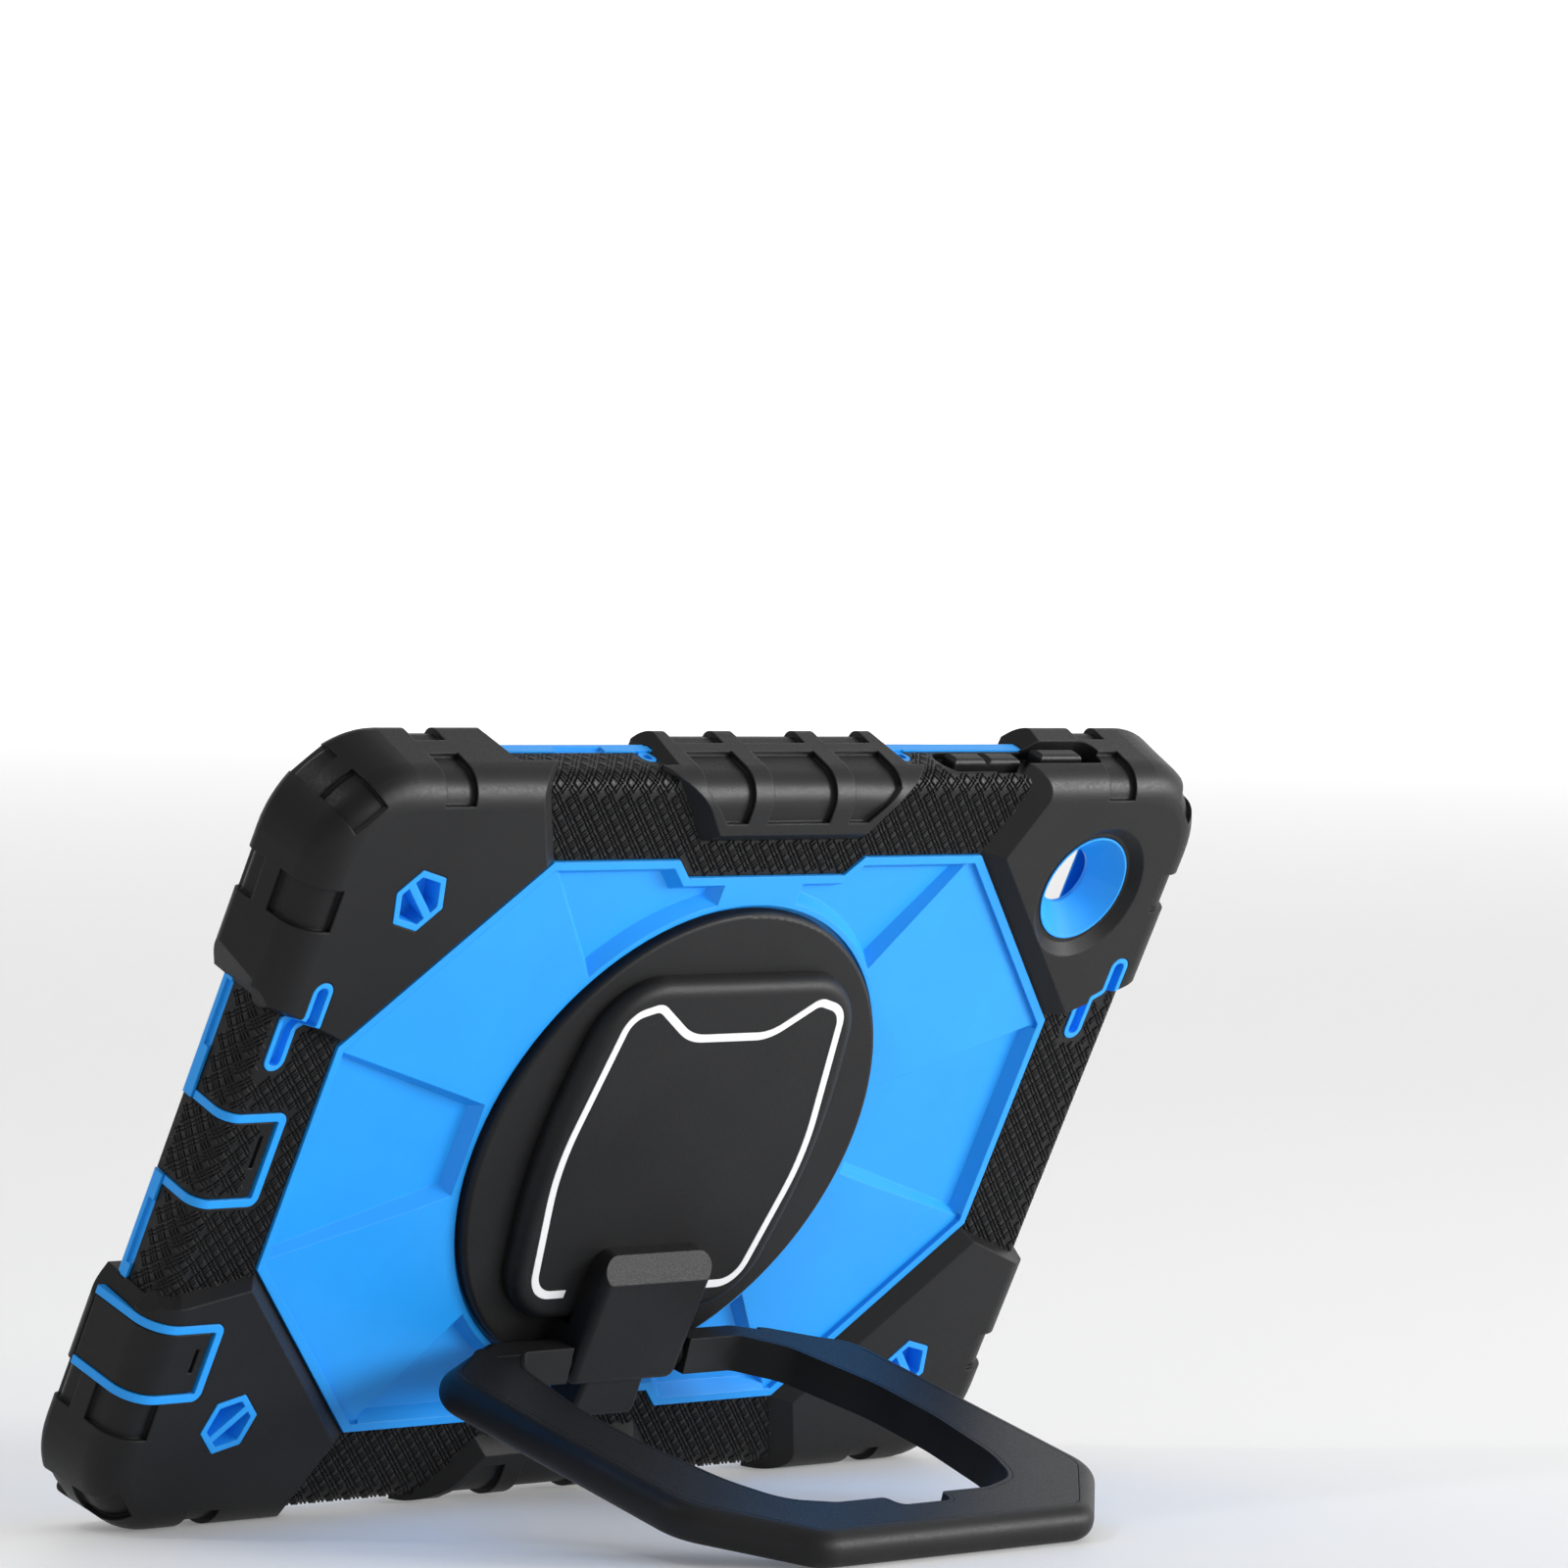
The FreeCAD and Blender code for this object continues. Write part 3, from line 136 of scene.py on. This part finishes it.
def link(tree, a, out, b, into):
    tree.links.new(a.outputs[out], b.inputs[into])


def moulded(name, colour, roughness, grain=1600.0, relief=0.12, edge=0.0004, shade=0.12,
            gloss_level=0.4):
    """Moulded plastic or silicone: fine grain, faint mottling and softly rounded edges."""
    material = bpy.data.materials.new(name)
    material.use_nodes = True
    tree = material.node_tree
    shader = tree.nodes["Principled BSDF"]
    shader.inputs["IOR"].default_value = 1.46
    shader.inputs["Specular IOR Level"].default_value = gloss_level
    where = tree.nodes.new("ShaderNodeTexCoord")

    mottle = tree.nodes.new("ShaderNodeTexNoise")
    mottle.inputs["Scale"].default_value = 45.0
    mottle.inputs["Detail"].default_value = 4.0
    link(tree, where, "Object", mottle, "Vector")
    ramp = tree.nodes.new("ShaderNodeValToRGB")
    ramp.color_ramp.elements[0].position = 0.35
    ramp.color_ramp.elements[1].position = 0.7
    ramp.color_ramp.elements[0].color = (*[c * (1 - shade) for c in colour], 1)
    ramp.color_ramp.elements[1].color = (*[min(1, c * (1 + shade)) for c in colour], 1)
    link(tree, mottle, "Fac", ramp, "Fac")
    link(tree, ramp, "Color", shader, "Base Color")

    grains = tree.nodes.new("ShaderNodeTexNoise")
    grains.inputs["Scale"].default_value = grain
    grains.inputs["Detail"].default_value = 3.0
    grains.inputs["Roughness"].default_value = 0.6
    link(tree, where, "Object", grains, "Vector")
    gloss = tree.nodes.new("ShaderNodeMapRange")
    gloss.inputs["From Min"].default_value = 0.3
    gloss.inputs["From Max"].default_value = 0.7
    gloss.inputs["To Min"].default_value = roughness - 0.06
    gloss.inputs["To Max"].default_value = roughness + 0.08
    link(tree, grains, "Fac", gloss, "Value")
    link(tree, gloss, "Result", shader, "Roughness")

    bevel = tree.nodes.new("ShaderNodeBevel")
    bevel.samples = 4
    bevel.inputs["Radius"].default_value = edge
    bump = tree.nodes.new("ShaderNodeBump")
    bump.inputs["Strength"].default_value = relief
    bump.inputs["Distance"].default_value = 0.0002
    link(tree, grains, "Fac", bump, "Height")
    link(tree, bevel, "Normal", bump, "Normal")
    link(tree, bump, "Normal", shader, "Normal")
    return material


def metal(name, colour, roughness):
    """Bare metal, with a finer grain and sharper edges than a moulding."""
    material = moulded(name, colour, roughness, grain=900.0, relief=0.05, edge=0.0001)
    material.node_tree.nodes["Principled BSDF"].inputs["Metallic"].default_value = 1.0
    return material


BLUE = (0.014, 0.33, 0.90)

materials = {
    "frame_blue": moulded("frame_blue", BLUE, 0.42, relief=0.06, shade=0.03),
    "shell_blue": moulded("shell_blue", BLUE, 0.42, relief=0.06, shade=0.03),
    "silicone_black": moulded("silicone_black", (0.007, 0.007, 0.0075), 0.42, relief=0.10,
                              edge=0.0006, shade=0.15, gloss_level=0.3),
    "plastic_black": moulded("plastic_black", (0.011, 0.011, 0.0115), 0.46, grain=2200.0,
                             relief=0.22, edge=0.0004, gloss_level=0.25),
    "slider_white": moulded("slider_white", (0.75, 0.75, 0.72), 0.35, relief=0.03),
    "line_white": moulded("line_white", (0.86, 0.86, 0.86), 0.4, relief=0.03, edge=0.0002,
                          shade=0.02),
    "steel": metal("steel", (0.6, 0.6, 0.62), 0.3),
}


def dress_nodes():
    """Gives each CAD node the material of the slot that its record names."""
    slots = {part["node"]: part["material_slot"] for part in frame["record"]["subparts"]}
    for name, node in nodes.items():
        node.data.materials.clear()
        node.data.materials.append(materials[slots[name]])


# ---------------------------------------------------------------- woven relief on the bands

# The bands' outer faces, their back face and the radius between the two, in millimetres.
BAND_X, BAND_Y, BAND_Z = 137.3, 93.0, -0.7
BAND_ROUND = 4.6
# How far the relief runs down a band's side: to the frame, or to the USB flap's front.
FRONT_Z = -11.6
FLAP_FRONT_Z = -14.7
# How far along each band it runs to either side, and where it starts on the back.
LONG_SIDE_REACH, LONG_SIDE_INNER = 84.0, 68.0
SHORT_SIDE_REACH, SHORT_SIDE_INNER = 46.0, 108.0

# The weave: one broad and two narrow stripes in each period, both ways.
PERIOD = 3.8
STRIPES = ((0.0, 0.46), (0.53, 0.68), (0.75, 0.90))
BROAD_HEIGHT, NARROW_HEIGHT = 0.5, 0.42
SUNK = 0.06

# The octagonal panel: half width, half height, its slanted sides (a corner, the direction
# square to the side, and a margin) and the notch in its long edges.
PANEL_X, PANEL_Y = 112.9, 72.6
PANEL_CORNER_X, PANEL_CORNER_Y = 68.2, 72.4
PANEL_SLANT_X, PANEL_SLANT_Y, PANEL_SLANT_MARGIN = 44.6, 44.5, 30.0
PANEL_NOTCH_Y, PANEL_NOTCH_X = 67.9, 24.8

# What the relief goes round: S slots, middle bumper, buttons, eyelets and the USB flap.
SLOT_X = {-1: -127.8, 1: 126.2}
SLOT_ARMS = (((21.6, 36.4), (-5.2, 1.8)), ((31.8, 46.4), (-1.9, 5.2)))
BUMPER_BACK, BUMPER_TOP, BUMPER_END = 77.4, 25.2, 38.0
BUMPER_SLOPE, BUMPER_SLOPE_LENGTH = 0.815, 16.2
BUTTONS_START, BUTTONS_END, BUTTONS_BACK = 49.8, 104, 2.1
EYELET_X, EYELET_Z, EYELET_CLEAR = 40.6, -10.2, 2.9
FLAP_HALF, FLAP_START = 9.2, 124.9
FLAP_RIDGE_END, FLAP_RIDGE_START = 12.1, 119.2
FLAP_SURROUND, FLAP_SEAM = 12.0, 125.0
PULL_ALONG, PULL_ACROSS = (-2.6, 6.6), (123.9, 126.3)


def band_point(along, across, height, long_side, sign):
    """Panel point over a band: `across` runs out over the back and round the edge."""
    reach = BAND_Y if long_side else BAND_X
    flat = reach - BAND_ROUND
    arc = BAND_ROUND * math.pi / 2
    if across <= flat:
        outward, z = across, BAND_Z + height
    elif across <= flat + arc:
        turn = (across - flat) / BAND_ROUND
        outward = flat + (BAND_ROUND + height) * math.sin(turn)
        z = BAND_Z - BAND_ROUND + (BAND_ROUND + height) * math.cos(turn)
    else:
        outward = reach + height
        z = BAND_Z - BAND_ROUND - (across - flat - arc)
    outward *= sign
    return (along, outward, z) if long_side else (outward, along, z)


def on_panel(x, y):
    """True inside the octagonal panel, whose long edges have a notch."""
    x, y = abs(x), abs(y)
    if y > PANEL_NOTCH_Y and x < PANEL_NOTCH_X + (y - PANEL_NOTCH_Y):
        return False
    past_slant = (x - PANEL_CORNER_X) * PANEL_SLANT_X + (y - PANEL_CORNER_Y) * PANEL_SLANT_Y
    return x < PANEL_X and y < PANEL_Y and past_slant < PANEL_SLANT_MARGIN


def near_slot(along, offset):
    """True close to an S slot's rim; offset is the distance to the right of its centre."""
    return any(low < along < high and left < offset < right
               for (low, high), (left, right) in SLOT_ARMS)


def under_bumper(along, across, side_start):
    """True where the bumper in the middle of a long side covers the band."""
    slope = min(max(across - BUMPER_BACK, 0.0), BUMPER_SLOPE_LENGTH) * BUMPER_SLOPE
    on_back = abs(along) < BUMPER_TOP + slope and across > BUMPER_BACK
    return on_back or (abs(along) < BUMPER_END and across > side_start)


def kept_clear(along, across, long_side, sign):
    """True on what the relief leaves out: bumper, buttons, eyelets, slots and flap ridges."""
    side_start = (BAND_Y if long_side else BAND_X) - BAND_ROUND * (1 - math.pi / 2)
    z = BAND_Z - BAND_ROUND - (across - side_start)
    if long_side:
        if under_bumper(along, across, side_start):
            return True
        near_button = (BUTTONS_START < along < BUTTONS_END
                       and across > side_start - BUTTONS_BACK)
        near_eyelet = (abs(abs(along) - EYELET_X) < EYELET_CLEAR
                       and abs(z - EYELET_Z) < EYELET_CLEAR)
        return sign > 0 and (near_button or near_eyelet)
    if near_slot(along, sign * across - SLOT_X[sign]):
        return True
    if sign > 0:
        return False
    ridge = FLAP_HALF < abs(along) < FLAP_RIDGE_END and across > FLAP_RIDGE_START
    end = abs(along) < FLAP_SURROUND and FLAP_RIDGE_START < across < FLAP_SEAM
    pull = (PULL_ALONG[0] < along < PULL_ALONG[1]
            and PULL_ACROSS[0] < across < PULL_ACROSS[1])
    return ridge or end or pull


def woven_cells(low, high, inner, outer):
    """Corners, middle and height of each block in a slanted tartan that covers the band."""
    root = math.sqrt(2)
    first = int((low + inner) / root / PERIOD) - 2
    last = int((high + outer) / root / PERIOD) + 2
    first_down = int((low - outer) / root / PERIOD) - 2
    last_down = int((high - inner) / root / PERIOD) + 2
    crossings = list(product(enumerate(STRIPES), repeat=2))
    for i, j in product(range(first, last), range(first_down, last_down)):
        for (m, (a, b)), (n, (c, d)) in crossings:
            rim = [((i + u) * PERIOD, (j + v) * PERIOD)
                   for u, v in ((a, c), (b, c), (b, d), (a, d))]
            spots = [((p + q) / root, (p - q) / root) for p, q in rim]
            middle = (sum(s for s, t in spots) / 4, sum(t for s, t in spots) / 4)
            yield spots, middle, BROAD_HEIGHT if m == n == 0 else NARROW_HEIGHT


def relief_blocks(long_side, sign, low, high, inner, front, wanted):
    """The woven cells of one band that lie clear of everything else on it."""
    flat = (BAND_Y if long_side else BAND_X) - BAND_ROUND
    outer = flat + BAND_ROUND * math.pi / 2 + (BAND_Z - BAND_ROUND - front)
    bend_gap = PERIOD / math.sqrt(2) * 0.5
    for spots, middle, height in woven_cells(low, high, inner, outer):
        if height == BROAD_HEIGHT and abs(middle[1] - flat) < bend_gap:
            continue
        if any(not (low < s < high and inner < t < outer) for s, t in spots):
            continue
        if any(kept_clear(s, t, long_side, sign) for s, t in spots):
            continue
        flats = [band_point(s, t, 0, long_side, sign) for s, t in spots]
        if not any(on_panel(x, y) for x, y, z in flats) and wanted(middle):
            yield spots, middle, height


def make_relief(name, body, bands, front, wanted):
    """One piece holding every block of the bands, each a small frustum."""
    points, faces = [], []
    for band in bands:
        long_side, sign = band[:2]
        for spots, middle, height in relief_blocks(*band, front, wanted):
            base = len(points)
            for level, share in ((-SUNK, 1.0), (height * 0.6, 0.92), (height, 0.7)):
                for s, t in spots:
                    s = middle[0] + (s - middle[0]) * share
                    t = middle[1] + (t - middle[1]) * share
                    points.append(place(*band_point(s, t, level, long_side, sign)))
            flip = long_side == (sign > 0)
            rings = []
            for k in range(2):
                for e in range(4):
                    f = (e + 1) % 4
                    rings.append((base + 4 * k + e, base + 4 * k + f,
                                  base + 4 * k + 4 + f, base + 4 * k + 4 + e))
            rings.append(tuple(base + 8 + e for e in range(4)))
            faces += [ring[::-1] for ring in rings] if flip else rings
    mesh = bpy.data.meshes.new(name)
    mesh.from_pydata(points, [], faces)
    mesh.materials.append(materials["silicone_black"])
    piece = bpy.data.objects.new(name, mesh)
    bpy.context.scene.collection.objects.link(piece)
    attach(piece, body)


def on_flap(spot):
    """True on the USB flap, beyond the plain strip at its hinged end."""
    return abs(spot[0]) < FLAP_HALF and spot[1] > FLAP_START


def make_reliefs():
    """The weave of all four bands; the left one is split where the USB flap opens."""
    long_sides = [(True, sign, -LONG_SIDE_REACH, LONG_SIDE_REACH, LONG_SIDE_INNER)
                  for sign in (-1, 1)]
    left, right = [(False, sign, -SHORT_SIDE_REACH, SHORT_SIDE_REACH, SHORT_SIDE_INNER)
                   for sign in (-1, 1)]
    make_relief("woven_relief", "case", [*long_sides, right], FRONT_Z,
                lambda spot: True)
    make_relief("woven_relief_left", "case", [left], FRONT_Z, lambda spot: not on_flap(spot))
    make_relief("woven_relief_flap", "usb_flap", [left], FLAP_FRONT_Z, on_flap)


make_camera()
make_stage()
dress_nodes()
make_reliefs()
